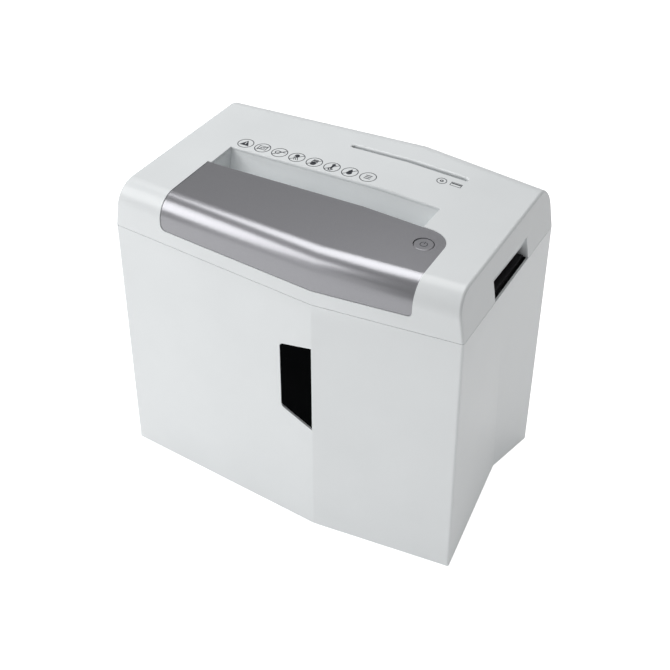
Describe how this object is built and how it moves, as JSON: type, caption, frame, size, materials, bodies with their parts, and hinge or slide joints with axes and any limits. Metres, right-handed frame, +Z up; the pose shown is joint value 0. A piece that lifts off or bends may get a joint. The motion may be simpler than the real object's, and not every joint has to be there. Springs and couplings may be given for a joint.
{
  "type": "paper shredder",
  "caption": "Free-standing paper shredder: lift-off cutting head with a feed slot, disc slot and power button on a folded-plan waste bin with a window.",
  "frame": {"origin": "on the floor under the middle of the shredder's plan", "axes": "+Z up, +X to the right seen from the front, -Y to the front (window side)"},
  "size_m": [0.3692, 0.231, 0.328],
  "materials": {
    "white_plastic": "satin moulded off-white plastic",
    "grey_gloss": "glossy metallic grey paint",
    "smoked_window": "near-black polished",
    "black_plastic": "fine matt",
    "rubber": "matt",
    "steel": "brushed zinc plated",
    "dark_steel": "oiled hardened steel",
    "bronze": "sintered",
    "nylon": "moulded natural",
    "board_green": "solder mask"
  },
  "bodies": {
    "bin": {"bin_shell": "white_plastic", "bin_window": "smoked_window", "foot_front_left": "rubber", "foot_front_right": "rubber", "foot_rear_left": "rubber", "foot_rear_right": "rubber", "disc_waste_tray": "white_plastic", "interlock_tab": "white_plastic"},
    "rear_cutter": {"cutter_rear": "dark_steel", "cutter_gear_rear": "steel", "drive_gear": "steel", "takeoff_gear": "nylon"},
    "front_cutter": {"cutter_front": "dark_steel", "cutter_gear_front": "steel"},
    "compound": {"compound_gear": "nylon"},
    "pinion": {"motor_pinion": "steel"},
    "idler": {"idler_gear": "nylon"},
    "disc_front": {"disc_cutter_front": "dark_steel", "disc_gear_front": "nylon"},
    "disc_rear": {"disc_cutter_rear": "dark_steel", "disc_gear_rear": "nylon"},
    "button": {"power_button": "grey_gloss"},
    "plunger": {"interlock_plunger": "nylon"},
    "head": {"top_cover": "white_plastic", "feed_throat": "white_plastic", "feed_insert": "grey_gloss", "disc_throat": "black_plastic", "base_tray": "black_plastic", "grip_pocket_left": "black_plastic", "grip_pocket_right": "black_plastic", "cord_gland": "black_plastic", "motor_gearbox": "black_plastic", "board_relay": "black_plastic", "button_switch": "black_plastic", "interlock_switch": "black_plastic", "paper_sensor": "black_plastic", "side_plate_left": "steel", "side_plate_right": "steel", "disc_plate_left": "steel", "gear_plate": "steel", "gear_post_front": "steel", "gear_post_rear": "steel", "compound_axle": "steel", "tie_rod_front_low": "steel", "tie_rod_front_high": "steel", "tie_rod_rear_high": "steel", "stripper_comb_front": "steel", "stripper_comb_rear": "steel", "case_screw_front_left": "steel", "case_screw_front_right": "steel", "case_screw_rear_left": "steel", "case_screw_rear_right": "steel", "button_spring": "steel", "interlock_spring": "steel", "motor_body": "dark_steel", "bush_front_left": "bronze", "bush_front_right": "bronze", "bush_rear_left": "bronze", "bush_rear_right": "bronze", "control_board": "board_green"}
  },
  "joints": [
    {"name": "head_lift", "type": "slide", "parent": "bin", "child": "head", "axis": [0, 0, 1], "range_m": [0, 0.15]},
    {"name": "rear_cutter_spin", "type": "hinge", "parent": "head", "child": "rear_cutter", "pos_m": [0, 0.012, 0.27], "axis": [1, 0, 0], "continuous": true},
    {"name": "front_cutter_spin", "type": "hinge", "parent": "head", "child": "front_cutter", "pos_m": [0, -0.018, 0.27], "axis": [1, 0, 0], "continuous": true},
    {"name": "compound_spin", "type": "hinge", "parent": "head", "child": "compound", "pos_m": [0, 0.03853, 0.28962], "axis": [1, 0, 0], "continuous": true},
    {"name": "pinion_spin", "type": "hinge", "parent": "head", "child": "pinion", "pos_m": [0, 0.063, 0.276], "axis": [1, 0, 0], "continuous": true},
    {"name": "idler_spin", "type": "hinge", "parent": "head", "child": "idler", "pos_m": [0, 0.03653, 0.27481], "axis": [1, 0, 0], "continuous": true},
    {"name": "disc_front_spin", "type": "hinge", "parent": "head", "child": "disc_front", "pos_m": [0, 0.058, 0.27], "axis": [1, 0, 0], "continuous": true},
    {"name": "disc_rear_spin", "type": "hinge", "parent": "head", "child": "disc_rear", "pos_m": [0, 0.076, 0.27], "axis": [1, 0, 0], "continuous": true},
    {"name": "power_press", "type": "slide", "parent": "head", "child": "button", "axis": [0, 0, 1], "range_m": [-0.0012, 0], "stiffness_N_per_m": 400, "springref_m": 0.001, "deforming": ["button_spring"]},
    {"name": "plunger_slide", "type": "slide", "parent": "head", "child": "plunger", "axis": [0, 0, 1], "range_m": [-0.004, 0], "deforming": ["interlock_spring"]}
  ],
  "couplings": [
    {"joint": "front_cutter_spin", "follows": "rear_cutter_spin", "ratio": -1},
    {"joint": "compound_spin", "follows": "rear_cutter_spin", "ratio": -2.6667},
    {"joint": "pinion_spin", "follows": "rear_cutter_spin", "ratio": 9.7778},
    {"joint": "idler_spin", "follows": "rear_cutter_spin", "ratio": -0.92308},
    {"joint": "disc_front_spin", "follows": "rear_cutter_spin", "ratio": 1.3333},
    {"joint": "disc_rear_spin", "follows": "rear_cutter_spin", "ratio": -1.3333},
    {"joint": "plunger_slide", "follows": "head_lift", "ratio": -0.026667}
  ]
}
